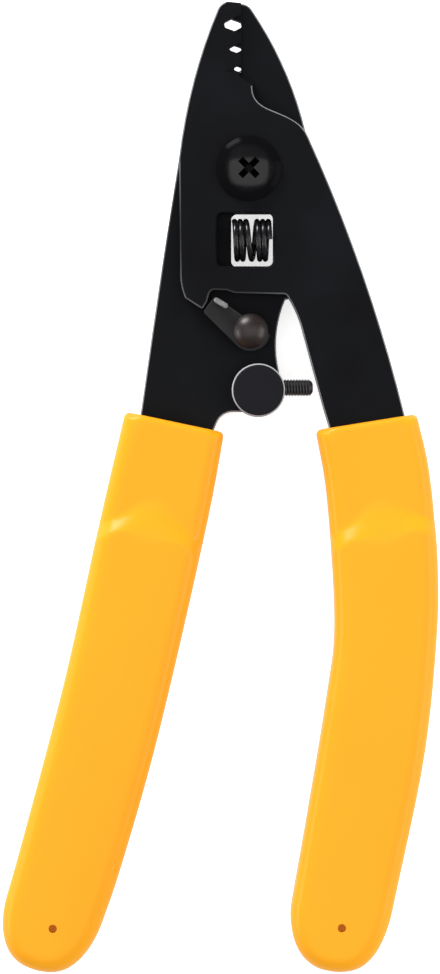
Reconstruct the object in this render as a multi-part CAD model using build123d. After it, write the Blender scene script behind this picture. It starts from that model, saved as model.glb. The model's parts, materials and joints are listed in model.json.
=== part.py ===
from build123d import *
import os
from math import cos, radians, sin, sqrt

# Fibre stripper: two crossed steel plates on one pivot screw, each a jaw and a handle.
# The pivot is the drawing's origin: X runs across the tool, Y towards the jaw tips, Z to the front.
# Sizes are millimetres and degrees, and the finished tool is moved onto its resting face at the end.

# Plates
plate_thickness = 2.5
plate_gap = 0.05
edge_break = 0.22
plate_hole_clearance = 0.03

# Blades: both lean to the left with the holes, and each cutting edge passes beside the pivot
blade_lean = 6.3
edge_offset = 1.32
tip_along = 28.72
tip_round = 2.2
heel = (2.69, 14.65)
edge_foot_along = 16.7
edge_land = 0.35
bevel_width = 2.8
heel_bevel_width = 0.9

# Stripping holes: distance from the pivot, and height between the two flanks at mid hole
stripping_holes = ((25.04, 2.1), (20.85, 1.25), (17.43, 0.95))
notch_flank_slope = 0.40
notch_root_round = 0.3

# Jaw shoulders, across and along the leaning centre line
hollow_start = (2.15, 14.18)
hollow_middle = (3.05, 10.9)
hollow_end = (5.7, 9.15)
shoulder_middle = (8.4, 7.5)

# Front plate about the pivot: down the left side, along the lower edge, up the right handle
front_tip_left = -4.8
front_jaw_side = ((-9.77, 14.22), (-12.02, 1.84))
front_left_foot = (-11.8, -17.5)
tooth_back = ((-11.6, -20.2), (-10.96, -22.27))
latch_recess = (-6.65, -20.8)
latch_recess_round = 1.0
lower_edge_start = (-3.9, -20.9)
lower_edge_end = (-2.4, -21.4)
crotch = (6.4, -21.6)
crotch_round = 0.8
right_handle_root = ((8.55, -25.85), (9.3, -28.4))
right_handle_neck = (12.87, -41.5)
right_handle_back = (19.9, -18.9)
front_jaw_back = (10.7, 4.5)

# Back plate about the pivot: down the right side, round the post's lobe, up the left handle
back_tip = (-0.27, 28.75)
back_right_side = ((9.82, 6.48), (11.3, -12.0))
back_lower_corner = (10.4, -21.5)
back_lower_round = 3.0
back_waist_start = (6.3, -22.4)
back_waist = ((4.79, -28.4), (5.25, -35.0))
post_lobe = (5.3, -41.8)
post_lobe_round = 3.4
cut_out = (-4.7, -41.8)
cut_out_round = 3.0
left_handle_back = ((-15.6, -20.86), (-11.95, 2.6))

# Spring windows and spring
window_length = 9.7
window_height = 9.2
window_round = 1.0
window_y = -12.2
spring_left = -3.03
spring_length = 7.16
spring_outer_diameter = 7.4
spring_wire = 0.95
spring_turns = 5.25
spring_wire_flats = 6
spring_end_clearance = 0.1

# Pivot screw, washer and nut
pivot_diameter = 5.0
pivot_head_diameter = 11.1
pivot_head_rim = 0.5
pivot_head_height = 2.3
cross_span = 4.6
cross_width = 1.1
cross_depth = 1.4
washer_diameter = 9.6
washer_thickness = 0.5
nut_across_flats = 8.0
nut_height = 2.5
nut_chamfer = 0.5
screw_stick_out = 0.3
screw_end_chamfer = 0.4
thread_clearance = 0.02

# Latch lever and its rivet, angles counted from +X about the rivet
rivet_place = (0.28, -27.95)
rivet_diameter = 3.0
rivet_head_diameter = 6.0
rivet_head_height = 1.3
rivet_flat_share = 0.5
rivet_tail_diameter = 4.8
rivet_tail_height = 0.9
peened_rim = 0.2
latch_head_clearance = 0.05
latch_thickness = 2.3
latch_lift = 0.1
latch_hub_radius = 3.4
nose_radius = 8.75
nose_slant = 0.15
nose_gap = 0.3
nose_start_angle = 147.0
nose_end_angle = 158.2
nose_shoulder_angle = 132.5
nose_shoulder_radius = 7.5
tooth_round = 0.4
thumb_tab_height = 1.7
thumb_tab_thickness = 1.0
thumb_tab_chamfer = 0.25
tooth_end_angle = 155.5
tooth_start_angle = 146.0

# Stop post and stop screw
post_place = (1.63, -38.15)
post_diameter = 9.15
post_height = 4.2
post_edge = 0.45
post_spigot_diameter = 4.0
post_tail_diameter = 5.6
post_tail_height = 0.8
stop_screw_diameter = 3.0
stop_screw_length = 10.0
stop_screw_y = -37.7
stop_screw_z = 1.75
stop_screw_reach = 11.0
stop_socket_flats = 1.5
stop_socket_depth = 1.5
stop_point_chamfer = 0.8
stop_socket_chamfer = 0.3

# Handles: middle of the grip's mouth, lean of the grip to the left, and tilt of its mouth
left_mouth = (-12.85, -43.55)
left_lean = 14.05
left_mouth_tilt = 2.0
right_mouth = (20.3, -43.5)
right_lean = 4.06
right_mouth_tilt = 13.3

# Tangs inside the grips
tang_mouth_width = 12.9
tang_end_width = 7.0
tang_middle_share = 0.4
left_tang_slant = 0.5
right_tang_slant = 1.4
left_tang_length = 71.0
right_tang_length = 68.5
right_tang_bow = 5.7
right_tang_end = 3.65
left_tang_shift = 0.5

# Grips: the left one bows evenly, the right one has a knee
left_grip_length = 97.1
right_grip_length = 94.8
grip_mouth_width = 17.3
left_grip_middle_width = 18.0
grip_end_width = 16.3
left_bow = 1.45
left_end_shift = 0.1
right_end_shift = 0.45
right_outer_shoulder = (12.85, 16.0)
right_outer_side = (13.75, 57.4)
right_inner_side = (-5.3, 69.1)
right_knee_along = 33.5
right_knee_outer = 14.7
right_knee_inner = -2.5
knee_outer_round = 50.0
knee_inner_round = 60.0
grip_thickness = 12.0
collar_thickness = 8.4
collar_length = 15.7
shoulder_run = 5.0
grip_edge_chamfer = 2.0
left_end_round = 7.6
right_end_outer_round = 8.2
right_end_inner_round = 7.2
hang_hole_diameter = 1.4
hang_hole_depth = 3.0
hang_hole_from_end = 7.4
left_hang_hole_shift = 0.9
right_hang_hole_shift = 1.9

# Heights of the two plates
back_bottom = -plate_thickness - plate_gap / 2
back_top = -plate_gap / 2
front_bottom = plate_gap / 2
front_top = plate_gap / 2 + plate_thickness


def about_rivet(angle, radius):
    """Point at an angle and a radius from the latch rivet."""
    x, y = rivet_place
    return (x + radius * cos(radians(angle)), y + radius * sin(radians(angle)))


def blade_point(side, across, along):
    """Point in the leaning blade axes: side is 1 for the front blade and -1 for the back one."""
    lean = radians(blade_lean)
    x = side * across
    return (x * cos(lean) - along * sin(lean), x * sin(lean) + along * cos(lean))


def handle_point(mouth, lean, across, along):
    """Point in a handle's own axes, which start at the grip's mouth and lean to the left."""
    turn = radians(lean)
    x, y = mouth
    return (x + across * cos(turn) - along * sin(turn), y - across * sin(turn) - along * cos(turn))


def left_handle(across, along):
    return handle_point(left_mouth, left_lean, across, along)


def right_handle(across, along):
    return handle_point(right_mouth, right_lean, across, along)


def edge_across(along):
    """Distance of a cutting edge from the leaning centre line."""
    lean = radians(blade_lean)
    return (along * sin(lean) - edge_offset) / cos(lean)


def outline(start, *steps):
    """Closed face: a step is a point for a straight side, two for an arc, or more for a curve."""
    edges = []
    here = start
    for step in steps + (start,):
        if not isinstance(step[0], tuple):
            edges.append(Line(here, step))
            here = step
        elif len(step) == 2:
            edges.append(ThreePointArc(here, *step))
            here = step[-1]
        else:
            edges.append(Spline([here, *step]))
            here = step[-1]
    return make_face(edges)


def prism(face, bottom, top):
    """Face drawn at height zero, made solid between two heights."""
    return Pos(0, 0, bottom) * extrude(face, amount=top - bottom, dir=(0, 0, 1))


def disc(place, diameter, bottom, top):
    """Upright cylinder between two heights."""
    return prism(Pos(*place) * Circle(diameter / 2), bottom, top)


def break_edges(plate):
    """Small chamfer round the flat faces of a stamped plate."""
    return chamfer(plate.edges().filter_by(Plane.XY), edge_break)


def round_corner(face, place, radius):
    """Face with the corner nearest to a place rounded."""
    corner = face.vertices().sort_by_distance((place[0], place[1], 0))[0]
    return fillet(corner, radius)


def jaw_side(side):
    """The inner side of one jaw, from its shoulder to its cutting edge, as outline steps."""
    tip = blade_point(side, edge_across(tip_along), tip_along)
    foot = blade_point(side, edge_across(edge_foot_along), edge_foot_along)
    curve = [shoulder_middle, hollow_end, hollow_middle, hollow_start]
    shoulder = tuple(blade_point(side, *point) for point in curve)
    return tip, (shoulder, blade_point(side, *heel), foot)


def window(left):
    """Window that the spring lies in."""
    middle = left + window_length / 2
    return Pos(middle, window_y) * RectangleRounded(window_length, window_height, window_round)


def hole_through(plate, place, radius):
    """Plate with a round hole reamed through it."""
    return plate - disc(place, radius * 2, back_bottom * 2, front_top * 2)


def front_outline():
    """Left jaw, tooth for the latch, crotch and right handle with its hidden tang."""
    tip, inner_side = jaw_side(1)
    outer_tip = (front_tip_left, tip[1])
    flank_radius = nose_radius + nose_gap
    tooth_end = about_rivet(tooth_end_angle, flank_radius)
    tooth_middle = about_rivet((tooth_end_angle + tooth_start_angle) / 2, flank_radius)
    tooth_start = about_rivet(tooth_start_angle, flank_radius)
    tang_side = tang_mouth_width * tang_middle_share
    tang_middle = right_tang_length / 2
    face = outline(
        tip,
        outer_tip,
        front_jaw_side,
        front_left_foot,
        tooth_back,
        tooth_end,
        (tooth_middle, tooth_start),
        latch_recess,
        lower_edge_start,
        lower_edge_end,
        crotch,
        right_handle_root,
        right_handle_neck,
        right_handle(-tang_mouth_width / 2, right_tang_slant),
        (
            right_handle(right_tang_bow - tang_side, tang_middle),
            right_handle(right_tang_end - tang_end_width / 2, right_tang_length),
        ),
        right_handle(right_tang_end + tang_end_width / 2, right_tang_length),
        (
            right_handle(right_tang_bow + tang_side, tang_middle),
            right_handle(tang_mouth_width / 2, -right_tang_slant),
        ),
        (right_handle_back, blade_point(1, *front_jaw_back)),
        *inner_side,
    )
    face = round_corner(face, tooth_end, tooth_round)
    face = round_corner(face, latch_recess, latch_recess_round)
    face = round_corner(face, crotch, crotch_round)
    return round_corner(face, outer_tip, tip_round)


def back_outline():
    """Right jaw, post lobe, round cut-out and left handle with its hidden tang."""
    tip, inner_side = jaw_side(-1)
    face = outline(
        tip,
        back_tip,
        back_right_side,
        back_lower_corner,
        back_waist_start,
        back_waist,
        post_lobe,
        cut_out,
        left_handle(left_tang_shift + tang_mouth_width / 2, -left_tang_slant),
        left_handle(left_tang_shift + tang_end_width / 2, left_tang_length),
        left_handle(left_tang_shift - tang_end_width / 2, left_tang_length),
        left_handle(left_tang_shift - tang_mouth_width / 2, left_tang_slant),
        left_handle_back,
        *inner_side,
    )
    face = round_corner(face, back_lower_corner, back_lower_round)
    face = round_corner(face, post_lobe, post_lobe_round)
    face = round_corner(face, cut_out, cut_out_round)
    return round_corner(face, back_tip, tip_round)


def bevel_cut(side, start, end, width, edge_height, face_height):
    """Wedge that thins a blade from its flat face down to the land at its cutting edge."""
    along = (Vector(*end) - Vector(*start)).normalized()
    inward = along.rotate(Axis.Z, 90 * side)
    slope = (face_height - edge_height) / width
    reach = 1.5
    high = face_height + slope * reach
    corners = [
        Vector(0, 0, edge_height - slope * reach) - inward * reach,
        Vector(0, 0, high) + inward * (width + reach),
        Vector(0, 0, high) - inward * reach,
    ]
    face = make_face(Polyline([Vector(*start) + corner for corner in corners], close=True))
    return extrude(face, amount=(Vector(*end) - Vector(*start)).length, dir=along)


def notch(side, along, height):
    """Slanted notch in one blade; it ends where the other blade's edge lies when shut."""
    half_depth = edge_across(along)
    root = height / 2 - notch_flank_slope * half_depth
    mouth_across = half_depth * 3
    mouth = height / 2 + notch_flank_slope * mouth_across
    corners = [(-half_depth, -root), (mouth_across, -mouth), (mouth_across, mouth), (-half_depth, root)]
    points = [blade_point(side, across, along + rise) for across, rise in corners]
    face = make_face(Polyline(points, close=True))
    roots = face.vertices().sort_by_distance(blade_point(side, -half_depth, along) + (0,))[:2]
    return fillet(roots, min(notch_root_round, root * 0.9))


def sharpen(plate, side, bottom, top):
    """Blade with its bevels and its three notches cut."""
    tip = blade_point(side, edge_across(tip_along + tip_round), tip_along + tip_round)
    foot = blade_point(side, edge_across(edge_foot_along), edge_foot_along)
    heel_point = blade_point(side, *heel)
    if side > 0:
        land, face_height = bottom + edge_land, top
    else:
        land, face_height = top - edge_land, bottom
    plate -= bevel_cut(side, foot, tip, bevel_width, land, face_height)
    plate -= bevel_cut(side, heel_point, foot, heel_bevel_width, land, face_height)
    for along, height in stripping_holes:
        plate -= prism(notch(side, along, height), bottom - 1, top + 1)
    return plate


def front_plate():
    face = front_outline() - window(spring_left + spring_length - window_length)
    plate = break_edges(prism(face, front_bottom, front_top))
    plate = hole_through(plate, (0, 0), pivot_diameter / 2 + plate_hole_clearance)
    return sharpen(plate, 1, front_bottom, front_top)


def back_plate():
    face = back_outline() - window(spring_left)
    plate = break_edges(prism(face, back_bottom, back_top))
    plate = hole_through(plate, (0, 0), pivot_diameter / 2 + plate_hole_clearance)
    plate = hole_through(plate, rivet_place, rivet_diameter / 2 + thread_clearance)
    plate = hole_through(plate, post_place, post_spigot_diameter / 2 + thread_clearance)
    return sharpen(plate, -1, back_bottom, back_top)


def turned(place, start, *steps):
    """Solid of revolution about an upright axis, from outline steps of (radius, height)."""
    return Pos(*place) * revolve(Plane.XZ * outline(start, *steps), Axis.Z)


def cap_rise(radius, height):
    """Height at half radius of a ball's cap, over the plane of its rim."""
    ball = (radius**2 + height**2) / (2 * height)
    return sqrt(ball**2 - (radius / 2) ** 2) - (ball - height)


def dome_top(radius, rim, height, seat):
    """Outline steps up the rim and over the dome of a head that stands on a seat."""
    through = (radius / 2, seat + rim + cap_rise(radius, height - rim))
    return (radius, seat), (radius, seat + rim), (through, (0, seat + height))


def peened_tail(diameter, height, pin_diameter):
    """Start and outline steps of a tail spread behind the back plate, up to its pin."""
    radius = diameter / 2
    rim = back_bottom - peened_rim
    flat = (pin_diameter / 2, back_bottom - height)
    steps = flat, (radius, rim), (radius, back_bottom), (pin_diameter / 2, back_bottom)
    return (0, back_bottom - height), steps


def cross_recess(seat):
    """Cross recess of the pivot head, its four wings on the diagonals and slanted at their ends."""
    top = seat + pivot_head_height
    half = cross_span / 2
    corners = [(-half, top), (half, top), (half - cross_depth * 0.9, top - cross_depth)]
    corners.append((-corners[-1][0], corners[-1][1]))
    wing = extrude(Plane.XZ * make_face(Polyline(corners, close=True)), amount=cross_width / 2, both=True)
    return Rot(0, 0, 45) * wing + Rot(0, 0, 135) * wing


def pivot_screw():
    """Domed cross-head screw whose plain shank is the pivot of both plates."""
    bottom = back_bottom - washer_thickness - nut_height - screw_stick_out
    radius = pivot_diameter / 2
    screw = turned(
        (0, 0),
        (0, bottom),
        (radius - screw_end_chamfer, bottom),
        (radius, bottom + screw_end_chamfer),
        (radius, front_top),
        *dome_top(pivot_head_diameter / 2, pivot_head_rim, pivot_head_height, front_top),
    )
    return screw - cross_recess(front_top)


def pivot_washer():
    face = Circle(washer_diameter / 2) - Circle(pivot_diameter / 2 + thread_clearance)
    return prism(face, back_bottom - washer_thickness, back_bottom)


def pivot_nut():
    """Low hexagon nut with turned corners on its outer face."""
    top = back_bottom - washer_thickness
    face = RegularPolygon(nut_across_flats / 2, 6, major_radius=False)
    nut = prism(face, top - nut_height, top)
    corner_radius = nut_across_flats / 2 / cos(radians(30))
    blank = disc((0, 0), corner_radius * 2, top - nut_height, top)
    blank = chamfer(blank.edges().group_by(Axis.Z)[0], nut_chamfer * 0.6, nut_chamfer)
    return (nut & blank) - disc((0, 0), pivot_diameter + 2 * thread_clearance, top - nut_height, top)


def return_spring():
    """Compression coil lying across both windows."""
    coil_radius = (spring_outer_diameter - spring_wire) / 2
    rise = spring_length - spring_wire - spring_end_clearance
    path = Helix(pitch=rise / spring_turns, height=rise, radius=coil_radius)
    wire = RegularPolygon(spring_wire / 2, spring_wire_flats)
    coil = sweep(Plane(origin=path @ 0, z_dir=path % 0) * wire, path=path, is_frenet=True)
    return Pos(spring_left + (spring_length - rise) / 2, window_y, 0) * Rot(0, 90, 0) * coil


def latch_outline(shoulder, nose_start):
    """Round hub and tapering arm, whose end is an arc about the rivet."""
    face = outline(
        nose_start,
        (
            about_rivet((nose_start_angle + nose_end_angle) / 2, nose_radius - nose_slant / 2),
            about_rivet(nose_end_angle, nose_radius),
        ),
        about_rivet(nose_end_angle + 58, latch_hub_radius),
        about_rivet(0, 0.5),
        about_rivet(nose_shoulder_angle, latch_hub_radius * 0.9),
        shoulder,
    )
    face += Pos(*rivet_place) * Circle(latch_hub_radius)
    return face - Pos(*rivet_place) * Circle(rivet_diameter / 2 + plate_hole_clearance)


def latch_lever():
    """Strut that turns on its rivet; its nose bears on the tooth of the front plate."""
    bottom = back_top + latch_lift
    shoulder = about_rivet(nose_shoulder_angle, nose_shoulder_radius)
    nose_start = about_rivet(nose_start_angle, nose_radius - nose_slant)
    lever = prism(latch_outline(shoulder, nose_start), bottom, bottom + latch_thickness)
    return chamfer(lever.edges().group_by(Axis.Z)[-1], edge_break) + thumb_tab(shoulder, nose_start)


def thumb_tab(shoulder, nose_start):
    """Bent-up tab on the slanted end of the lever, where a thumb pushes it off."""
    bottom = back_top + latch_lift
    run = Vector(*nose_start) - Vector(*shoulder)
    inward = run.normalized().rotate(Axis.Z, 90)
    start = Vector(*shoulder) + run * 0.12
    end = Vector(*shoulder) + run * 0.82
    back = inward * thumb_tab_thickness
    rim = inward * edge_break
    face = make_face(Polyline([start + rim, end + rim, end + back, start + back], close=True))
    tab = prism(face, bottom + latch_thickness / 2, bottom + latch_thickness + thumb_tab_height)
    return chamfer(tab.edges().group_by(Axis.Z)[-1], thumb_tab_chamfer)


def latch_rivet():
    """Rivet that the latch turns on, peened behind the back plate."""
    seat = back_top + latch_lift + latch_thickness + latch_head_clearance
    radius = rivet_head_diameter / 2
    top = seat + rivet_head_height
    start, tail = peened_tail(rivet_tail_diameter, rivet_tail_height, rivet_diameter)
    head = (radius, seat), (radius, seat + peened_rim), (radius * rivet_flat_share, top), (0, top)
    return turned(rivet_place, start, *tail, (rivet_diameter / 2, seat), *head)


def stop_post():
    """Turned post riveted to the back plate, cross-drilled for the stop screw."""
    radius = post_diameter / 2
    top = back_top + post_height
    start, tail = peened_tail(post_tail_diameter, post_tail_height, post_spigot_diameter)
    post = turned(
        post_place,
        start,
        *tail,
        (post_spigot_diameter / 2, back_top),
        (radius, back_top),
        (radius, top - post_edge),
        (radius - post_edge, top),
        (0, top),
    )
    bore_radius = stop_screw_diameter / 2 + plate_hole_clearance
    bore = Cylinder(bore_radius, post_diameter * 2, rotation=(0, 90, 0))
    return post - Pos(post_place[0], stop_screw_y, stop_screw_z) * bore


def stop_screw():
    """Grub screw with a tapered point towards the right handle."""
    body = Cylinder(stop_screw_diameter / 2, stop_screw_length, rotation=(0, 90, 0))
    body = chamfer(body.edges().sort_by(Axis.X)[-1], stop_point_chamfer)
    body = chamfer(body.edges().sort_by(Axis.X)[0], stop_socket_chamfer)
    key = extrude(Plane.YZ * RegularPolygon(stop_socket_flats / 2, 6, major_radius=False), stop_socket_depth)
    body -= Pos(-stop_screw_length / 2, 0, 0) * key
    return Pos(stop_screw_reach - stop_screw_length / 2, stop_screw_y, stop_screw_z) * body


def thickness_slab():
    """Side view of a grip, drawn out sideways: thin collar, slope, thick cushion."""
    thin = collar_thickness / 2
    thick = grip_thickness / 2
    step = collar_length + shoulder_run
    beyond = left_grip_length * 1.5
    upper = [(-beyond, thin), (collar_length, thin), (step, thick), (beyond, thick)]
    lower = [(along, -height) for along, height in reversed(upper)]
    side = make_face(Polyline(upper + lower, close=True))
    return Rot(0, 0, -90) * extrude(Plane.XZ * side, amount=grip_mouth_width * 2, both=True)


def is_upright(edge):
    """True for an edge that runs along Z."""
    return abs((edge % 0.5).Z) > 0.99


def grip(face, mouth, turn, hang_hole, plate):
    """Moulded grip: outline and side view meet, the edges are broken, the tang fits inside."""
    slab = Pos(*mouth) * Rot(0, 0, turn) * thickness_slab()
    body = prism(face, -grip_thickness / 2, grip_thickness / 2) & slab
    body = chamfer([edge for edge in body.edges() if not is_upright(edge)], grip_edge_chamfer)
    body -= disc(hang_hole, hang_hole_diameter, grip_thickness / 2 - hang_hole_depth, grip_thickness / 2)
    return body - plate


def mouth_corner(side, tilt):
    """One end of a grip's tilted mouth, across and along its handle: side is -1 or 1."""
    half = side * grip_mouth_width / 2
    return half, -half * sin(radians(tilt)) / cos(radians(tilt))


def left_grip(plate):
    middle = left_grip_length / 2
    outer_mouth = left_handle(*mouth_corner(-1, left_mouth_tilt))
    inner_mouth = left_handle(*mouth_corner(1, left_mouth_tilt))
    outer_end = left_handle(left_end_shift - grip_end_width / 2, left_grip_length)
    inner_end = left_handle(left_end_shift + grip_end_width / 2, left_grip_length)
    face = outline(
        outer_mouth,
        (left_handle(left_bow - left_grip_middle_width / 2, middle), outer_end),
        inner_end,
        (left_handle(left_bow + left_grip_middle_width / 2, middle), inner_mouth),
    )
    for corner in (outer_end, inner_end):
        face = round_corner(face, corner, left_end_round)
    hang_hole = left_handle(left_hang_hole_shift, left_grip_length - hang_hole_from_end)
    return grip(face, left_mouth, left_mouth_tilt - left_lean, hang_hole, plate)


def right_grip(plate):
    outer_mouth = right_handle(*mouth_corner(1, right_mouth_tilt))
    inner_mouth = right_handle(*mouth_corner(-1, right_mouth_tilt))
    outer_end = right_handle(right_end_shift + grip_end_width / 2, right_grip_length)
    inner_end = right_handle(right_end_shift - grip_end_width / 2, right_grip_length)
    outer_knee = right_handle(right_knee_outer, right_knee_along)
    inner_knee = right_handle(right_knee_inner, right_knee_along)
    face = outline(
        outer_mouth,
        (right_handle(*right_outer_shoulder), outer_knee),
        (right_handle(*right_outer_side), outer_end),
        inner_end,
        (right_handle(*right_inner_side), inner_knee),
        inner_mouth,
    )
    face = round_corner(face, outer_knee, knee_outer_round)
    face = round_corner(face, inner_knee, knee_inner_round)
    face = round_corner(face, outer_end, right_end_outer_round)
    face = round_corner(face, inner_end, right_end_inner_round)
    hang_hole = right_handle(right_hang_hole_shift, right_grip_length - hang_hole_from_end)
    return grip(face, right_mouth, right_mouth_tilt - right_lean, hang_hole, plate)


def build():
    """Every piece of the tool, by name, about the pivot."""
    front = front_plate()
    back = back_plate()
    return {
        "front_plate": front,
        "back_plate": back,
        "pivot_screw": pivot_screw(),
        "pivot_washer": pivot_washer(),
        "pivot_nut": pivot_nut(),
        "return_spring": return_spring(),
        "latch_lever": latch_lever(),
        "latch_rivet": latch_rivet(),
        "stop_post": stop_post(),
        "stop_screw": stop_screw(),
        "left_grip": left_grip(back),
        "right_grip": right_grip(front),
    }


def place_on_rest(pieces):
    """Move all pieces so that the origin is the middle of the tool's underside."""
    boxes = [piece.bounding_box() for piece in pieces.values()]
    x = (min(box.min.X for box in boxes) + max(box.max.X for box in boxes)) / 2
    y = (min(box.min.Y for box in boxes) + max(box.max.Y for box in boxes)) / 2
    z = min(box.min.Z for box in boxes)
    print("pivot at", (round(-x, 4), round(-y, 4), round(-z, 4)))
    shift = Pos(-x, -y, -z)
    return {name: shift * piece for name, piece in pieces.items()}


os.makedirs("parts", exist_ok=True)
for name, piece in place_on_rest(build()).items():
    export_step(piece, f"parts/{name}.step")
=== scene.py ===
import json
import math

import bmesh
import bpy
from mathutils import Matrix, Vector


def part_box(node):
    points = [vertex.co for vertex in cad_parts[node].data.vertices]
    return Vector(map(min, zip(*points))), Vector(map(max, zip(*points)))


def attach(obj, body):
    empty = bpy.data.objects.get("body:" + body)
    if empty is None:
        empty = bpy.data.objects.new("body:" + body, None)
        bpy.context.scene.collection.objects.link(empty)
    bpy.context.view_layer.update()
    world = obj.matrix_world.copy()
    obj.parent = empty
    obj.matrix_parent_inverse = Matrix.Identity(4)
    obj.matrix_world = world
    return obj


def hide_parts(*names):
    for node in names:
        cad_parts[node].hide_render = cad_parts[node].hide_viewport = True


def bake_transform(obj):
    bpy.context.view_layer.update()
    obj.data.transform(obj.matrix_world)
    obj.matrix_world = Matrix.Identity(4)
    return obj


# Fibre stripper, dressed over its solids. Sizes are millimetres from the pivot, turned into
# metres in the frame by at(); X runs across the tool, Y towards the jaw tips, Z to the front.

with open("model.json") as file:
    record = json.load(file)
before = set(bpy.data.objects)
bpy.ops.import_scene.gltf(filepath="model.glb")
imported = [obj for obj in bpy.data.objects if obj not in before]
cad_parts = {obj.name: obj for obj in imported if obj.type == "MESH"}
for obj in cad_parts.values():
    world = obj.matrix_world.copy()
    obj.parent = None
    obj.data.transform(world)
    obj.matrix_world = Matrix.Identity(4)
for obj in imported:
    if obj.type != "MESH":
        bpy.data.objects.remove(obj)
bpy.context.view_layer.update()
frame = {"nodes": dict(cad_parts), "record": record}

MM = 0.001
RECORD = frame["record"]
PIVOT = Vector(next(j for j in RECORD["behaviour"]["joints"] if j["name"] == "jaw_pivot")["pos_m"])


def at(x, y, z=0.0):
    """Point given in millimetres from the pivot, in the frame."""
    return PIVOT + Vector((x, y, z)) * MM


def node_box(node):
    """Lowest and highest corner of a CAD node, in millimetres from the pivot."""
    low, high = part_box(node)
    return (low - PIVOT) / MM, (high - PIVOT) / MM


# Materials

CHAMFER_UPRIGHT = 0.66
CHAMFER_MARGIN = 0.09
OCCLUSION_SHADE_START = 0.9
OCCLUSION_SHADE_END = 0.7
FINE_BUMP = 0.00003


class Surface:
    """A material with its shader, and short ways to add nodes to it."""

    def __init__(self, name, roughness, specular):
        self.material = bpy.data.materials.new(name)
        self.material.use_nodes = True
        self.nodes = self.material.node_tree.nodes
        self.links = self.material.node_tree.links
        self.shader = self.nodes["Principled BSDF"]
        self.shader.inputs["Roughness"].default_value = roughness
        self.shader.inputs["Specular IOR Level"].default_value = specular

    def noise(self, scale, detail):
        """Noise in the object's own space."""
        place = self.nodes.new("ShaderNodeTexCoord")
        texture = self.nodes.new("ShaderNodeTexNoise")
        texture.inputs["Scale"].default_value = scale
        texture.inputs["Detail"].default_value = detail
        self.links.new(place.outputs["Object"], texture.inputs["Vector"])
        return texture.outputs["Fac"]

    def ramp(self, value, stops):
        """Colour that follows a value; stops are (position, colour)."""
        node = self.nodes.new("ShaderNodeValToRGB")
        while len(node.color_ramp.elements) < len(stops):
            node.color_ramp.elements.new(0.5)
        for element, (position, colour) in zip(node.color_ramp.elements, stops):
            element.position = position
            element.color = (*colour, 1.0)
        self.links.new(value, node.inputs["Fac"])
        return node.outputs["Color"]

    def math(self, operation, first, second=None):
        """Result of a sum on values that are numbers or sockets."""
        node = self.nodes.new("ShaderNodeMath")
        node.operation = operation
        for socket, value in zip(node.inputs, (first, second)):
            if value is None:
                continue
            if isinstance(value, (int, float)):
                socket.default_value = value
            else:
                self.links.new(value, socket)
        return node.outputs[0]

    def mix(self, share, first, second):
        """Blend of two colours by a value."""
        node = self.nodes.new("ShaderNodeMix")
        node.data_type = "RGBA"
        self.links.new(share, node.inputs["Factor"])
        for name, colour in (("A", first), ("B", second)):
            if isinstance(colour, tuple):
                node.inputs[name].default_value = (*colour, 1.0)
            else:
                self.links.new(colour, node.inputs[name])
        return node.outputs["Result"]

    def spread(self, value, low, high, start=0.0, end=1.0):
        """A value between start and end, moved into the range from low to high."""
        node = self.nodes.new("ShaderNodeMapRange")
        node.inputs["From Min"].default_value = start
        node.inputs["From Max"].default_value = end
        node.inputs["To Min"].default_value = low
        node.inputs["To Max"].default_value = high
        self.links.new(value, node.inputs["Value"])
        return node.outputs["Result"]

    def bump(self, value, strength, distance):
        """Fine relief that follows a value."""
        node = self.nodes.new("ShaderNodeBump")
        node.inputs["Strength"].default_value = strength
        node.inputs["Distance"].default_value = distance
        self.links.new(value, node.inputs["Height"])
        self.links.new(node.outputs["Normal"], self.shader.inputs["Normal"])

    def upright(self, kind):
        """Upright share of a normal: 1 on level faces and 0 on walls."""
        geometry = self.nodes.new("ShaderNodeNewGeometry")
        parts = self.nodes.new("ShaderNodeSeparateXYZ")
        self.links.new(geometry.outputs[kind], parts.inputs["Vector"])
        return self.math("ABSOLUTE", parts.outputs["Z"])

    def chamfered(self):
        """1 on faces that lean as the plates' chamfers do, and 0 elsewhere."""
        lean = self.math("SUBTRACT", self.upright("True Normal"), CHAMFER_UPRIGHT)
        return self.math("LESS_THAN", self.math("ABSOLUTE", lean), CHAMFER_MARGIN)

    def away_from(self, centre, axes, near, far):
        """0 within one distance of a centre, measured along two axes, and 1 beyond another."""
        own = self.nodes.new("ShaderNodeTexCoord")
        parts = self.nodes.new("ShaderNodeSeparateXYZ")
        self.links.new(own.outputs["Object"], parts.inputs["Vector"])
        squares = 0.0
        for axis in axes:
            step = self.math("SUBTRACT", parts.outputs[axis], centre["XYZ".index(axis)])
            squares = self.math("ADD", self.math("MULTIPLY", step, step), squares)
        return self.spread(self.math("SQRT", squares), 0.0, 1.0, near * MM, far * MM)

    def occlusion_shade(self, reach):
        """Painted shade: towards 1 in recesses and corners, found by ambient occlusion."""
        node = self.nodes.new("ShaderNodeAmbientOcclusion")
        node.samples = 8
        node.inputs["Distance"].default_value = reach * MM
        return self.spread(node.outputs["AO"], 0.0, 1.0, OCCLUSION_SHADE_START, OCCLUSION_SHADE_END)


def black_steel(name, dark, pale, roughness, specular):
    """Black-finished steel with a cloudy oxide and a fine grain; gives the surface and its colour."""
    surface = Surface(name, roughness, specular)
    grain = surface.noise(900, 4)
    colour = surface.ramp(surface.noise(70, 3), [(0.35, dark), (0.7, pale)])
    rough = surface.spread(grain, roughness - 0.04, roughness + 0.06)
    surface.links.new(colour, surface.shader.inputs["Base Color"])
    surface.links.new(rough, surface.shader.inputs["Roughness"])
    surface.bump(grain, 0.05, FINE_BUMP)
    return surface, colour


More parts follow.
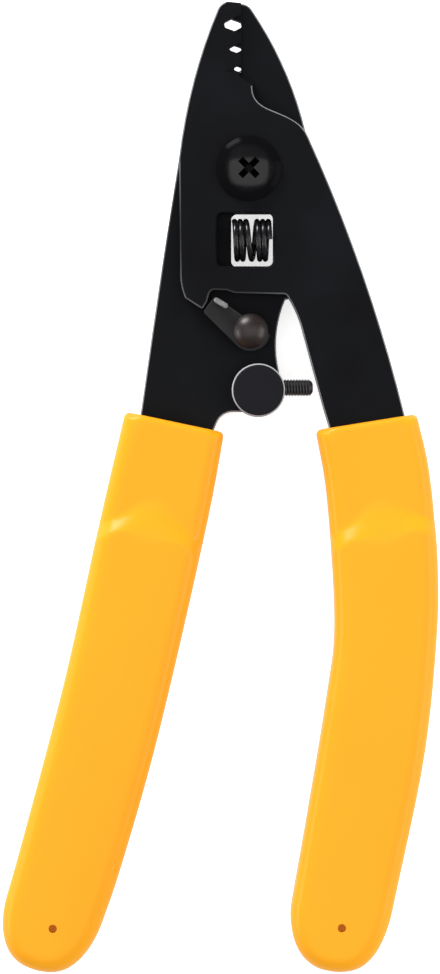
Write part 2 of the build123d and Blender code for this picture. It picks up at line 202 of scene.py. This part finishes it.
def highlit_worn_edges(surface, colour, edge, fade_centre, near, far):
    """Paler steel on chamfers, partly worn bare metal and partly a painted highlight, fading out near
    a centre point.
    """
    patches = surface.spread(surface.noise(260, 2), 0.5, 1.0)
    # Pale chamfer colour: a painted highlight on the edges as well as wear.
    wear_and_highlight = surface.math("MULTIPLY", surface.chamfered(), patches)
    wear_and_highlight = surface.math("MULTIPLY", wear_and_highlight, surface.away_from(fade_centre, "XY", near, far))
    surface.links.new(surface.mix(wear_and_highlight, colour, edge), surface.shader.inputs["Base Color"])
    return surface.material


# Painted shade: the plate's pale chamfers fade to black within these distances of the spring window.
WINDOW_SHADE_CENTRE = (-3.0, -11.0)
WINDOW_SHADE_NEAR = 7.5
WINDOW_SHADE_FAR = 20.0


def plate_steel():
    """Plates: paler chamfers, partly worn steel and partly a painted highlight, kept black round the
    spring window by painted shade.
    """
    dark, pale = (0.0050, 0.0051, 0.0060), (0.0070, 0.0076, 0.0090)
    surface, colour = black_steel("blackened_plate", dark, pale, 0.5, 0.03)
    near, far = WINDOW_SHADE_NEAR, WINDOW_SHADE_FAR
    return highlit_worn_edges(surface, colour, (0.25, 0.25, 0.26), at(*WINDOW_SHADE_CENTRE), near, far)


SCREW_SHINE = 0.38
RIM_SHINE = 0.012
RIM_UPRIGHT = 0.89
CROWN_UPRIGHT = 0.94
RECESS_REACH = 1.6


def screw_steel():
    """Black screws, polished on the crown of the head and dull on its rim; painted shade in the
    recess darkens it and takes its shine away.
    """
    dark, pale = (0.0035, 0.0035, 0.0042), (0.005, 0.005, 0.006)
    surface, colour = black_steel("black_screw", dark, pale, 0.16, SCREW_SHINE)
    recess_shade = surface.occlusion_shade(RECESS_REACH)
    upright = surface.upright("Normal")
    crown = surface.spread(upright, RIM_SHINE, SCREW_SHINE, RIM_UPRIGHT, CROWN_UPRIGHT)
    unshaded = surface.math("SUBTRACT", 1.0, recess_shade)
    shine = surface.math("MULTIPLY", crown, unshaded)
    surface.links.new(shine, surface.shader.inputs["Specular IOR Level"])
    # Painted shade: the recess goes to black.
    shaded_colour = surface.mix(recess_shade, colour, (0.001, 0.001, 0.001))
    surface.links.new(shaded_colour, surface.shader.inputs["Base Color"])
    return surface.material


CREST_START = 1.36
CREST_TOP = 1.5


def thread_steel():
    """Set screw with paler thread crests: partly oxide rubbed off, partly a painted highlight."""
    dark, pale = (0.006, 0.006, 0.007), (0.012, 0.012, 0.013)
    surface, colour = black_steel("thread_crests", dark, pale, 0.3, 0.4)
    low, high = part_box("stop_screw")
    crest = surface.away_from((low + high) / 2, "YZ", CREST_START, CREST_TOP)
    # Paler crests: a painted highlight as well as rubbed oxide.
    worn_and_highlit = surface.mix(crest, colour, (0.06, 0.06, 0.062))
    surface.links.new(worn_and_highlit, surface.shader.inputs["Base Color"])
    return surface.material


LEVER_FADE_CENTRE = (2.0, -31.0)
LEVER_FADE_NEAR = 2.0
LEVER_FADE_FAR = 9.0


def lever_steel():
    """Stamped lever, a little paler than the plates."""
    dark, pale = (0.012, 0.012, 0.0125), (0.024, 0.024, 0.0245)
    surface, colour = black_steel("latch_steel", dark, pale, 0.42, 0.1)
    near, far = LEVER_FADE_NEAR, LEVER_FADE_FAR
    # Pale chamfers: partly worn steel, partly a painted highlight, fading out round a point by the
    # rivet.
    return highlit_worn_edges(surface, colour, (0.06, 0.06, 0.062), at(*LEVER_FADE_CENTRE), near, far)


POST_RIM_START = 0.24
POST_RIM_FULL = 0.2


def post_steel():
    """Turned post, pale only on the thin rim of its bevel: partly bare steel, partly a painted
    highlight.
    """
    dark, pale = (0.0075, 0.0075, 0.0095), (0.010, 0.010, 0.0125)
    surface, colour = black_steel("turned_post", dark, pale, 0.42, 0.06)
    low, high = node_box("stop_post")
    radius = (high.x - low.x) / 2
    middle = at((low.x + high.x) / 2, (low.y + high.y) / 2)
    # Painted highlight on the bevel's rim, in pale steel.
    near, far = radius - POST_RIM_START, radius - POST_RIM_FULL
    return highlit_worn_edges(surface, colour, (0.45, 0.45, 0.46), middle, near, far)


def bare_steel(name, dark, pale, roughness):
    """Dull plated steel."""
    surface = Surface(name, roughness, 0.5)
    surface.shader.inputs["Metallic"].default_value = 1.0
    grain = surface.noise(1200, 3)
    colour = surface.ramp(grain, [(0.3, dark), (0.7, pale)])
    surface.links.new(colour, surface.shader.inputs["Base Color"])
    surface.bump(grain, 0.08, FINE_BUMP)
    return surface.material


def spring_steel():
    """Oiled black wire."""
    dark, pale = (0.004, 0.004, 0.005), (0.009, 0.009, 0.011)
    surface, _ = black_steel("spring_wire", dark, pale, 0.22, 0.4)
    return surface.material


def rivet_steel():
    """Dark peened rivet with a trace of rust in its brown patches."""
    dark, pale = (0.010, 0.007, 0.007), (0.024, 0.013, 0.012)
    surface, _ = black_steel("rivet_steel", dark, pale, 0.38, 0.45)
    return surface.material


def grip_rubber():
    """Matt moulded rubber with a faint mottle and a fine skin."""
    surface = Surface("yellow_grip", 0.33, 0.15)
    mottle = surface.noise(35, 2)
    tint = surface.ramp(mottle, [(0.3, (0.80, 0.325, 0.0095)), (0.75, (0.82, 0.342, 0.011))])
    surface.links.new(tint, surface.shader.inputs["Base Color"])
    surface.bump(surface.noise(3000, 2), 0.05, FINE_BUMP)
    return surface.material


MATERIALS = {
    "blackened_plate": plate_steel(),
    "black_screw": screw_steel(),
    "zinc_hardware": bare_steel("zinc_hardware", (0.42, 0.42, 0.44), (0.55, 0.55, 0.57), 0.4),
    "spring_wire": spring_steel(),
    "latch_steel": lever_steel(),
    "rivet_steel": rivet_steel(),
    "turned_post": post_steel(),
    "yellow_grip": grip_rubber(),
}
THREAD_STEEL = thread_steel()
# Pale bare steel of the thumb tab's top: a painted highlight as well as rubbed metal.
TAB_HIGHLIGHT_STEEL = bare_steel("tab_highlight_steel", (0.40, 0.40, 0.41), (0.62, 0.62, 0.63), 0.5)

for part in RECORD["subparts"]:
    piece = frame["nodes"][part["node"]]
    for material_slot in piece.material_slots:
        material_slot.material = MATERIALS[part["material_slot"]]


# Meshes


def link_piece(name, mesh, slot, body=None):
    """Put a closed mesh in the scene, smooth and facing outwards, riding a body if one is given."""
    mesh.materials.append(MATERIALS[slot])
    face_outwards(mesh)
    mesh.shade_smooth()
    piece = bpy.data.objects.new(name, mesh)
    bpy.context.collection.objects.link(piece)
    if body:
        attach(piece, body)
    return piece


def add_piece(name, points, faces, slot, body=None):
    """Piece from faces between points, which are in millimetres from the pivot."""
    mesh = bpy.data.meshes.new(name)
    mesh.from_pydata([at(*point) for point in points], [], faces)
    return link_piece(name, mesh, slot, body)


def face_outwards(mesh):
    """Turn every face of a closed mesh to the outside."""
    work = bmesh.new()
    work.from_mesh(mesh)
    bmesh.ops.recalc_face_normals(work, faces=work.faces)
    work.to_mesh(mesh)
    work.free()


def sharpen_edges(piece, degrees):
    """Smooth shading broken where two faces meet at more than an angle."""
    piece.data.set_sharp_from_angle(angle=math.radians(degrees))


def strip_faces(rings, count, closed=True):
    """Quads between successive rings of the same count of points."""
    faces = []
    for ring in range(rings - 1):
        for place in range(count if closed else count - 1):
            after = (place + 1) % count
            low, high = ring * count, (ring + 1) * count
            faces.append((low + place, low + after, high + after, high + place))
    return faces


def end_faces(rings, count):
    """Flat faces that close the first and the last of the rings."""
    last = (rings - 1) * count
    return [tuple(range(count)), tuple(last + place for place in reversed(range(count)))]


def turned(name, centre, profile, slot, body, segments=96):
    """Piece turned about an upright axis, from (radius, height) steps; it ends on the axis."""
    points = []
    x, y = centre
    for radius, height in profile[1:-1]:
        for step in range(segments):
            angle = math.tau * step / segments
            points.append((x + radius * math.cos(angle), y + radius * math.sin(angle), height))
    rings = len(profile) - 2
    faces = strip_faces(rings, segments)
    first, last = len(points), len(points) + 1
    points += [(x, y, profile[0][1]), (x, y, profile[-1][1])]
    for step in range(segments):
        after = (step + 1) % segments
        faces.append((first, after, step))
        faces.append((last, (rings - 1) * segments + step, (rings - 1) * segments + after))
    piece = add_piece(name, points, faces, slot, body)
    sharpen_edges(piece, 35)
    return piece


def cut(piece, cutter):
    """Cut one mesh out of another for good; the cutter is removed."""
    modifier = piece.modifiers.new("cut", "BOOLEAN")
    modifier.operation = "DIFFERENCE"
    modifier.solver = "EXACT"
    modifier.object = cutter
    bpy.context.view_layer.update()
    evaluated = piece.evaluated_get(bpy.context.evaluated_depsgraph_get())
    mesh = bpy.data.meshes.new_from_object(evaluated)
    piece.modifiers.clear()
    piece.data = mesh
    bpy.data.objects.remove(cutter)


def curve_through(points, steps):
    """Points on a smooth curve through the given ones, evenly stepped between each two."""
    ends = [2 * Vector(points[0]) - Vector(points[1]), 2 * Vector(points[-1]) - Vector(points[-2])]
    knots = [ends[0], *map(Vector, points), ends[1]]
    curve = []
    for place in range(1, len(knots) - 2):
        before, start, end, after = knots[place - 1:place + 3]
        for step in range(steps):
            t = step / steps
            curve.append(
                start
                + (end - before) * (t / 2)
                + (2 * before - 5 * start + 4 * end - after) * (t * t / 2)
                + (3 * start - before - 3 * end + after) * (t**3 / 2)
            )
    return curve + [Vector(points[-1])]


# Grips: soft, rounded cushions with a thinner collar, in their own axes from the mouth

GRIP_HALF = 6.0
COLLAR_HALF = 4.2
SHOULDER_AT = 17.3
SHOULDER_RUN = 9.0
EAR_RUN = 2.7
EAR_SIDE = 0.62
SIDE_ROUND = 2.7
MOUTH_ROUND = 1.0
CORNER_ROUND = 0.9
CROWN = 0.4
ROW_STEP = 0.9
SHOULDER_ROWS = (13.0, 27.0, 0.4)
MOUTH_ROWS = (0.0, 0.06, 0.18, 0.36, 0.6, 0.9, 1.3)
CURVE_STEPS = 12
END_LEAN = -0.4
END_FULLNESS = 0.79
END_TURN = 88.5
DIMPLE_RADIUS = 0.72
DIMPLE_DEPTH = 1.6
CUTTER_TIP = 0.3

LEFT_GRIP = {
    "name": "left_grip_skin",
    "mouth": (-12.85, -43.55),
    "lean": 14.05,
    "outer": [(-8.62, 0.35), (-8.3, 19.4), (-7.5, 47.6), (-7.85, 76.0), (-8.15, 86.2)],
    "inner": [(8.8, -0.3), (9.72, 14.9), (10.38, 43.1), (10.35, 61.0), (9.65, 78.0), (8.95, 86.2)],
    "end": (0.4, 86.2, 8.55, 11.0),
    "arch": 4.4,
    "dimple": (0.95, 89.3),
    "node": "left_grip",
    "body": "back_half",
}
RIGHT_GRIP = {
    "name": "right_grip_skin",
    "mouth": (20.3, -43.5),
    "lean": 4.06,
    "outer": [(8.5, -1.9), (11.4, 8.0), (13.8, 22.9), (14.6, 36.7), (13.85, 57.4), (10.35, 83.5)],
    "inner": [(-8.6, 2.1), (-5.8, 13.9), (-3.0, 35.0), (-3.5, 48.3), (-5.45, 69.1), (-6.95, 83.5)],
    "end": (1.7, 83.5, 8.65, 11.25),
    "arch": 2.8,
    "dimple": (1.75, 86.9),
    "node": "right_grip",
    "body": "front_half",
}


def in_grip(grip, across, along, height):
    """Point of a grip's own axes, in millimetres about the pivot."""
    turn = math.radians(grip["lean"])
    x = grip["mouth"][0] + across * math.cos(turn) - along * math.sin(turn)
    y = grip["mouth"][1] - across * math.sin(turn) - along * math.cos(turn)
    return x, y, height


def resample(curve, places):
    """Points of a curve at the given shares of its length."""
    lengths = [0.0]
    for start, end in zip(curve, curve[1:]):
        lengths.append(lengths[-1] + (end - start).length)
    points, step = [], 0
    for place in places:
        target = lengths[-1] * place
        while step < len(curve) - 2 and lengths[step + 1] < target:
            step += 1
        share = (target - lengths[step]) / (lengths[step + 1] - lengths[step])
        points.append(curve[step].lerp(curve[step + 1], share))
    return points


def stepped(start, stop, step):
    """Places from start to stop, about a step apart, without the start itself."""
    count = round((stop - start) / step)
    return [start + (stop - start) * place / count for place in range(1, count + 1)]


def grip_sides(grip, end_rows=20):
    """Matching points down the outer and the inner side, round the end to its middle."""
    length = grip["end"][1]
    start, stop, fine = SHOULDER_ROWS
    along = list(MOUTH_ROWS) + stepped(MOUTH_ROWS[-1], start, ROW_STEP)
    along += stepped(start, stop, fine) + stepped(stop, length, ROW_STEP)
    places = [row / length for row in along]
    outer = resample(curve_through(grip["outer"], CURVE_STEPS), places)
    inner = resample(curve_through(grip["inner"], CURVE_STEPS), places)
    for row, distance in enumerate(along):
        inset = round_drop(distance, CORNER_ROUND)
        run = (inner[row] - outer[row]).normalized() * inset
        outer[row] += run
        inner[row] -= run
    outer_slope = (outer[-1].x - outer[-2].x) / (outer[-1].y - outer[-2].y)
    inner_slope = (inner[-1].x - inner[-2].x) / (inner[-1].y - inner[-2].y)
    across, drop, half_width, reach = grip["end"]
    if grip["outer"][0][0] > 0:
        half_width = -half_width
    for row in range(1, end_rows + 1):
        angle = math.radians(END_TURN) * row / end_rows
        aside = half_width * math.cos(angle) ** END_FULLNESS
        below = reach * math.sin(angle)
        middle = across + END_LEAN * math.sin(angle) ** 2
        drift = below * (1 - math.sin(angle))
        outer.append(Vector((middle - aside + outer_slope * drift, drop + below)))
        inner.append(Vector((middle + aside + inner_slope * drift, drop + below)))
    return outer, inner


def round_drop(distance, radius):
    """How far a rounded edge falls at a distance from the wall."""
    if distance >= radius:
        return 0.0
    return radius - math.sqrt(max(radius**2 - (radius - distance) ** 2, 0.0))


def smooth(value):
    """Eased step from 0 to 1, held level on both sides."""
    value = min(max(value, 0.0), 1.0)
    return value * value * (3 - 2 * value)


def nearest(point, line):
    """Distance from a point to a line of points."""
    best = 1e9
    for start, end in zip(line, line[1:]):
        run = end - start
        share = min(max((point - start).dot(run) / max(run.length_squared, 1e-12), 0.0), 1.0)
        best = min(best, (point - start - run * share).length_squared)
    return math.sqrt(best)


def grip_height(point, side, arch, walls, mouth):
    """Half thickness of the grip at a point; side runs from -1 to 1 across it."""
    to_mouth = nearest(point, mouth)
    past_shoulder = to_mouth - SHOULDER_AT - arch * side**2
    ear = smooth(abs(side) / EAR_SIDE)
    share = past_shoulder / (SHOULDER_RUN + (EAR_RUN - SHOULDER_RUN) * ear) + 0.5
    rise = smooth(share) + (min(max(share, 0.0), 1.0) - smooth(share)) * ear
    height = COLLAR_HALF + (GRIP_HALF - COLLAR_HALF - CROWN * side**2) * rise
    height -= round_drop(nearest(point, walls), SIDE_ROUND)
    return height - round_drop(to_mouth, MOUTH_ROUND)


def grip_skin(grip, columns=30):
    """Closed skin of one grip: the front sheet, its mirror image behind, and the wall between."""
    outer, inner = grip_sides(grip)
    walls = outer + inner[::-1]
    mouth = [outer[0], inner[0]]
    front = []
    for start, end in zip(outer, inner):
        for column in range(columns):
            side = -math.cos(math.pi * column / (columns - 1))
            point = start.lerp(end, (side + 1) / 2)
            front.append((point, grip_height(point, side, grip["arch"], walls, mouth)))
    rows = len(outer)
    points = [in_grip(grip, *point, height) for point, height in front]
    points += [in_grip(grip, *point, -height) for point, height in front]
    back = rows * columns
    faces = strip_faces(rows, columns, closed=False)
    faces += [tuple(back + place for place in reversed(face)) for face in faces]
    rim = [row * columns for row in range(rows)]
    rim += [(rows - 1) * columns + column for column in range(1, columns)]
    rim += [row * columns + columns - 1 for row in range(rows - 2, -1, -1)]
    rim += [column for column in range(columns - 2, 0, -1)]
    for here, after in zip(rim, rim[1:] + rim[:1]):
        faces.append((here, after, back + after, back + here))
    skin = add_piece(grip["name"], points, faces, "yellow_grip")
    drill_dimple(skin, grip)
    sharpen_edges(skin, 50)
    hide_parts(grip["node"])
    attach(skin, grip["body"])
    return skin


def drill_dimple(skin, grip):
    """Pin-sized blind hole near the end of a grip."""
    x, y, _ = in_grip(grip, *grip["dimple"], 0)
    bottom = GRIP_HALF - DIMPLE_DEPTH
    above = GRIP_HALF + 1
    profile = [(0, bottom - CUTTER_TIP), (DIMPLE_RADIUS, bottom), (DIMPLE_RADIUS, above), (0, above)]
    cut(skin, turned("dimple", (x, y), profile, "yellow_grip", None, segments=24))


# Spring: closed coils at both ends with one open turn between them

SPRING_Y = -12.2
WIRE_RADIUS = 0.475
COIL_PITCH = 0.97
COIL_OVERSIZE = 0.1
SPRING_TURNS = 5.25
SPRING_MARGIN = 0.02
OPEN_TURN_START = 1.9
OPEN_TURN_SPAN = 1.1
WIRE_SIDES = 14
WIRE_STEPS = 300


def spring():
    """Round wire wound between the two window ends."""
    low, high = node_box("return_spring")
    coil_radius = (high.y - low.y) / 2 - WIRE_RADIUS + COIL_OVERSIZE
    start = low.x + WIRE_RADIUS + SPRING_MARGIN
    reach = high.x - low.x - 2 * WIRE_RADIUS - 2 * SPRING_MARGIN
    opening = reach - COIL_PITCH * SPRING_TURNS
    points = []
    for step in range(WIRE_STEPS):
        turn = SPRING_TURNS * step / (WIRE_STEPS - 1)
        angle = math.tau * turn
        x = start + COIL_PITCH * turn + opening * smooth((turn - OPEN_TURN_START) / OPEN_TURN_SPAN)
        outward = Vector((0, math.cos(angle), math.sin(angle)))
        sideways = Vector((1, 0, 0))
        centre = Vector((x, SPRING_Y, 0)) + outward * coil_radius
        for side in range(WIRE_SIDES):
            around = math.tau * side / WIRE_SIDES
            offset = outward * math.cos(around) + sideways * math.sin(around)
            points.append(centre + offset * WIRE_RADIUS)
    faces = strip_faces(WIRE_STEPS, WIRE_SIDES) + end_faces(WIRE_STEPS, WIRE_SIDES)
    coil = add_piece("spring_coil", points, faces, "spring_wire")
    sharpen_edges(coil, 50)
    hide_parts("return_spring")
    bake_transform(coil)
    return coil


# Stop screw: M3 thread, rounded point, hexagon socket

THREAD_PITCH = 0.5
THREAD_DEPTH = 0.28
POINT_LENGTH = 0.9
POINT_FULLNESS = 0.82
THREAD_RUN_IN = 0.4
RINGS_PER_PITCH = 8
SCREW_SIDES = 40
SOCKET_HALF = 0.75
SOCKET_DEPTH = 1.5


def thread_radius(x, angle, start, end, radius):
    """Radius of the threaded shank at a place along it and an angle round it."""
    phase = (x / THREAD_PITCH - angle / math.tau) % 1.0
    groove = THREAD_DEPTH * abs(2 * phase - 1)
    into_point = (x - (end - POINT_LENGTH)) / POINT_LENGTH
    if into_point > 0:
        crown = math.sqrt(1 - POINT_FULLNESS * into_point**2)
        return (radius - groove * (1 - into_point)) * crown
    return radius - groove * smooth((x - start) / THREAD_RUN_IN)


def socket_radius(angle):
    """Distance from the axis to the wall of the hexagon socket at an angle round it."""
    corner = (angle + math.pi / 6) % (math.pi / 3) - math.pi / 6
    return SOCKET_HALF / math.cos(corner)


def stop_screw():
    """Threaded screw from the floor of its socket, out over its end and along to its point."""
    low, high = node_box("stop_screw")
    radius = (high.z - low.z) / 2
    y, z = (low.y + high.y) / 2, (low.z + high.z) / 2
    length = high.x - low.x
    count = int(length / THREAD_PITCH * RINGS_PER_PITCH)
    angles = [math.tau * step / SCREW_SIDES for step in range(SCREW_SIDES)]
    rings = []
    for depth in (SOCKET_DEPTH, 0.0):
        rings.append((low.x + depth, [socket_radius(angle) for angle in angles]))
    for place in range(count + 1):
        x = low.x + length * place / count
        rings.append((x, [thread_radius(x, angle, low.x, high.x, radius) for angle in angles]))
    points = []
    for x, sizes in rings:
        for angle, size in zip(angles, sizes):
            points.append((x, y + size * math.cos(angle), z + size * math.sin(angle)))
    faces = strip_faces(len(rings), SCREW_SIDES) + end_faces(len(rings), SCREW_SIDES)
    screw = add_piece("stop_screw_thread", points, faces, "black_screw")
    screw.data.materials[0] = THREAD_STEEL
    sharpen_edges(screw, 40)
    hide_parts("stop_screw")
    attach(screw, "stop")
    return screw


# Latch: tapering lever with a bent-up tab, on a round-head rivet

RIVET_HEAD = 1.3
RIVET_CROWN = 0.6
RIVET_RIM = 0.15
RIVET_PIN = 1.5
RIVET_TAIL = 2.4
TAIL_RIM = 0.2
LEVER_BEVEL = 0.16
TAB_BEVEL = 0.2
HUB_RADIUS = 3.4
HUB_FROM, HUB_TO = 165.0, 350.0
HUB_STEPS = 24
NOSE = [(-7.84, -24.7), (-7.45, -23.95), (-6.93, -23.27), (-5.85, -21.95)]
LEVER_BOTTOM = 0.1
LEVER_TOP = 2.38
TAB_START = (-5.7, -22.1)
TAB_END = (-3.45, -23.45)
TAB_WIDTH = 0.9
TAB_TOP = 3.9
TAB_FALL = 0.5
TAB_ROOT = 0.6


def hull(name, points, slot, body, bevel):
    """Bevelled solid round a handful of points."""
    work = bmesh.new()
    for point in points:
        work.verts.new(at(*point))
    bmesh.ops.convex_hull(work, input=work.verts)
    loose = [vertex for vertex in work.verts if not vertex.link_faces]
    bmesh.ops.delete(work, geom=loose, context="VERTS")
    bmesh.ops.dissolve_limit(work, angle_limit=math.radians(1), verts=work.verts, edges=work.edges)
    bmesh.ops.bevel(work, geom=work.edges, offset=bevel * MM, segments=3, affect="EDGES")
    mesh = bpy.data.meshes.new(name)
    work.to_mesh(mesh)
    work.free()
    piece = link_piece(name, mesh, slot, body)
    sharpen_edges(piece, 30)
    return piece


def latch_lever():
    """Flat arm from the round hub to the slanted nose."""
    low, high = node_box("latch_rivet")
    x, y = (low.x + high.x) / 2, (low.y + high.y) / 2
    edge = list(NOSE)
    for step in range(HUB_STEPS + 1):
        angle = math.radians(HUB_FROM + (HUB_TO - HUB_FROM) * step / HUB_STEPS)
        edge.append((x + HUB_RADIUS * math.cos(angle), y + HUB_RADIUS * math.sin(angle)))
    points = [(*point, height) for point in edge for height in (LEVER_BOTTOM, LEVER_TOP)]
    lever = hull("latch_arm", points, "latch_steel", None, LEVER_BEVEL)
    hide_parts("latch_lever")
    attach(lever, "latch")
    return lever


def thumb_tab():
    """Bent-up tab on the lever's upper edge, its top sloping down to the outside; its pale steel is a
    painted highlight as well as rubbed metal.
    """
    start, end = Vector(TAB_START), Vector(TAB_END)
    inward = (end - start).normalized()
    inward = Vector((inward.y, -inward.x)) * TAB_WIDTH
    rim = TAB_TOP - TAB_FALL
    corners = [(start, rim), (end, rim), (end + inward, TAB_TOP), (start + inward, TAB_TOP)]
    points = [(*corner, top) for corner, top in corners]
    points += [(*corner, LEVER_TOP - TAB_ROOT) for corner, _ in corners]
    tab = hull("thumb_tab", points, "latch_steel", "latch", TAB_BEVEL)
    tab.data.materials[0] = TAB_HIGHLIGHT_STEEL
    return tab


def dome(radius, rim, height, seat, steps=14):
    """Rim and rounded top of a head, as (radius, height) steps up to its middle."""
    rise = height - rim
    ball = (radius**2 + rise**2) / (2 * rise)
    profile = [(radius, seat), (radius, seat + rim)]
    for step in range(1, steps + 1):
        reach = radius * math.cos(math.pi / 2 * step / steps)
        profile.append((max(reach, 0.0), seat + height - ball + math.sqrt(ball**2 - reach**2)))
    return profile


def latch_rivet():
    """Round-head rivet, peened behind the back plate."""
    low, high = node_box("latch_rivet")
    plate_low, _ = node_box("back_plate")
    radius = (high.x - low.x) / 2
    centre = ((low.x + high.x) / 2, (low.y + high.y) / 2)
    seat = high.z - RIVET_HEAD
    under = plate_low.z
    profile = [(0, low.z), (RIVET_PIN, low.z), (RIVET_TAIL, under - TAIL_RIM), (RIVET_TAIL, under)]
    profile += [(RIVET_PIN, under), (RIVET_PIN, seat)]
    profile += dome(radius, RIVET_RIM, RIVET_HEAD + RIVET_CROWN, seat)
    rivet = turned("rivet_ball_head", centre, profile, "rivet_steel", None)
    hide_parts("latch_rivet")
    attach(rivet, "back_half")
    return rivet


# Floor, light and camera

PHOTO_SIZE = (440, 974)
PIVOT_IN_PHOTO = (248.9, 168.5)
PIXEL = 0.172
LENS = 150.0
FLOOR_REACH = 3.0
FLOOR_MIDDLE = 0.4
FLOOR_GLOW = 0.6
WORLD_LIGHT = 0.56
WORLD_IN_REFLECTIONS = 0.16
WHITE = (1.0, 1.0, 1.0, 1.0)


def floor():
    """Large plain sheet, level with the underside of the grips."""
    rows = [-FLOOR_REACH, -FLOOR_MIDDLE, FLOOR_MIDDLE, FLOOR_REACH]
    points = [(x, y, 0.0) for y in rows for x in rows]
    mesh = bpy.data.meshes.new("floor")
    mesh.from_pydata(points, [], strip_faces(len(rows), len(rows), closed=False))
    sheet = bpy.data.objects.new("floor", mesh)
    bpy.context.collection.objects.link(sheet)
    surface = Surface("floor_white", 0.9, 0.0)
    surface.shader.inputs["Base Color"].default_value = WHITE
    seen = surface.nodes.new("ShaderNodeLightPath")
    surface.shader.inputs["Emission Color"].default_value = WHITE
    glow = surface.math("MULTIPLY", seen.outputs["Is Camera Ray"], FLOOR_GLOW)
    surface.links.new(glow, surface.shader.inputs["Emission Strength"])
    mesh.materials.append(surface.material)


def softbox(name, place, size, power):
    """Rectangular soft light that faces the tool and isn't seen itself."""
    data = bpy.data.lights.new(name, "AREA")
    data.shape = "RECTANGLE"
    data.size, data.size_y = size
    data.energy = power
    light = bpy.data.objects.new(name, data)
    bpy.context.collection.objects.link(light)
    light.location = place
    light.rotation_mode = "QUATERNION"
    light.rotation_quaternion = (-Vector(place)).to_track_quat("-Z", "Y")
    light.visible_camera = False


def studio():
    """Four soft lights and a pale world, which is dimmer where it is mirrored."""
    softbox("overhead", (0.0, 0.0, 0.55), (1.0, 0.62), 2.1)
    softbox("key_left", (-0.34, 0.67, 0.22), (0.32, 0.2), 6.0)
    softbox("fill_right", (0.66, -0.05, 0.28), (0.6, 0.3), 2.4)
    softbox("fill_left", (-0.74, -0.1, 0.17), (0.4, 0.14), 1.7)
    world = bpy.data.worlds.new("studio")
    world.use_nodes = True
    nodes, links = world.node_tree.nodes, world.node_tree.links
    seen = nodes.new("ShaderNodeLightPath")
    dimmed = nodes.new("ShaderNodeMapRange")
    dimmed.inputs["To Min"].default_value = WORLD_LIGHT
    dimmed.inputs["To Max"].default_value = WORLD_IN_REFLECTIONS
    links.new(seen.outputs["Is Glossy Ray"], dimmed.inputs["Value"])
    nodes["Background"].inputs["Color"].default_value = WHITE
    links.new(dimmed.outputs["Result"], nodes["Background"].inputs["Strength"])
    bpy.context.scene.world = world
    bpy.context.scene.view_settings.view_transform = "Standard"


def camera():
    """Long lens straight above the tool, framed as tall as the photograph."""
    data = bpy.data.cameras.new("camera")
    data.lens = LENS
    data.sensor_width = 36.0
    data.clip_end = 20.0
    eye = bpy.data.objects.new("camera", data)
    bpy.context.collection.objects.link(eye)
    across = (PHOTO_SIZE[0] / 2 - PIVOT_IN_PHOTO[0]) * PIXEL
    along = (PIVOT_IN_PHOTO[1] - PHOTO_SIZE[1] / 2) * PIXEL
    _, plate_top = node_box("front_plate")
    eye.location = at(across, along, plate_top.z + PHOTO_SIZE[1] * PIXEL * LENS / data.sensor_width)
    bpy.context.scene.camera = eye


grip_skin(LEFT_GRIP)
grip_skin(RIGHT_GRIP)
spring()
stop_screw()
latch_lever()
thumb_tab()
latch_rivet()
floor()
studio()
camera()
